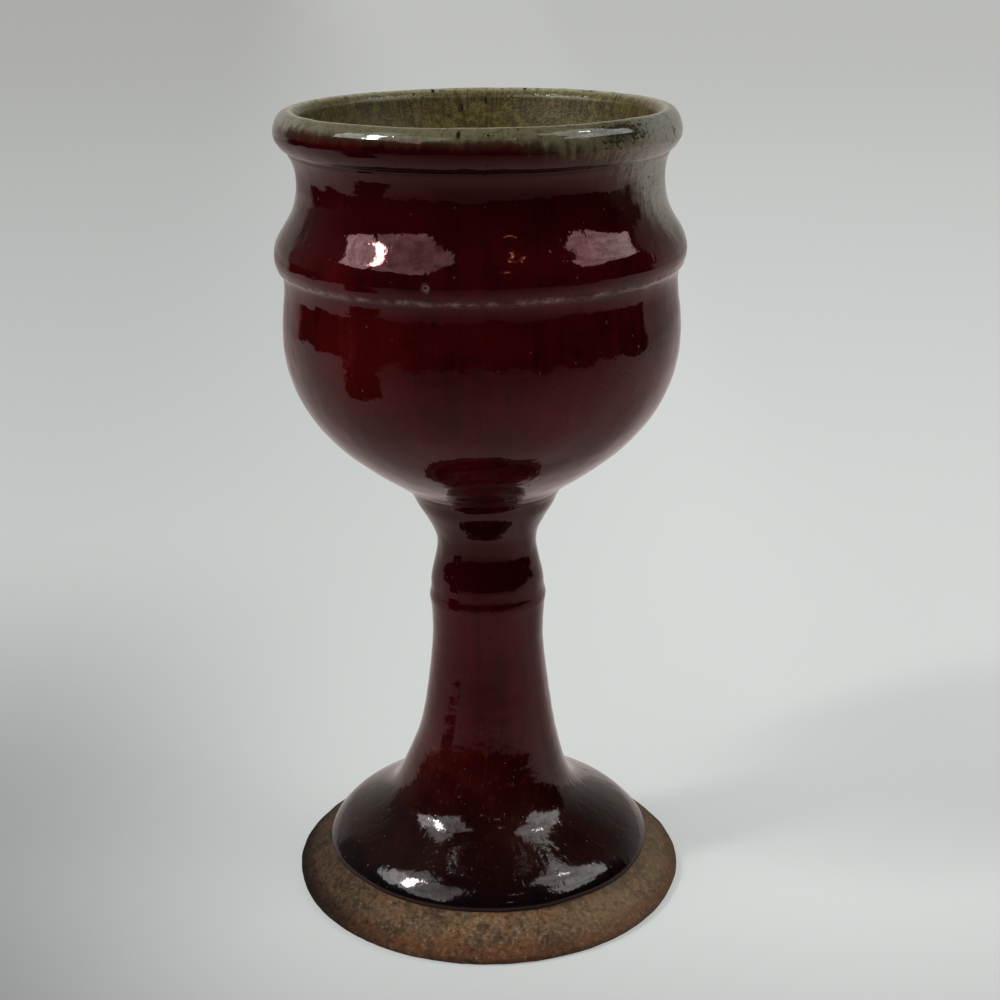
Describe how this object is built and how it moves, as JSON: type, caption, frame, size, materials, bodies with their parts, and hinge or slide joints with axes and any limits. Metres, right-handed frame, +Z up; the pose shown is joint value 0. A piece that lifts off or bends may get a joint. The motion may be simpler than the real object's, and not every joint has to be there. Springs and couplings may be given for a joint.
{
  "type": "stoneware goblet",
  "caption": "Thrown stoneware goblet: round banded bowl on a flaring hollow pedestal, glazed red outside and grey-green inside, with a bare clay foot.",
  "frame": {"origin": "middle of the foot, on the surface that the goblet stands on", "axes": "+Z up along the pedestal, +X to the right and +Y away from the viewer in the picture"},
  "size_m": [0.0832, 0.083, 0.1641],
  "materials": {
    "stoneware_clay": "bare fired stoneware, brown and rusty, coarse and matt",
    "luting_slip": "fired slip, matt",
    "copper_red_glaze": "deep copper-red glaze, glossy, thicker and nearly black at its lower edge",
    "grey_green_glaze": "grey-green glaze with iron specks and brown streaks, satin gloss"
  },
  "bodies": {
    "root": {"stem_clay": "stoneware_clay", "joint_slip": "luting_slip", "bowl_clay": "stoneware_clay", "red_glaze": "copper_red_glaze", "liner_glaze": "grey_green_glaze"}
  },
  "joints": []
}
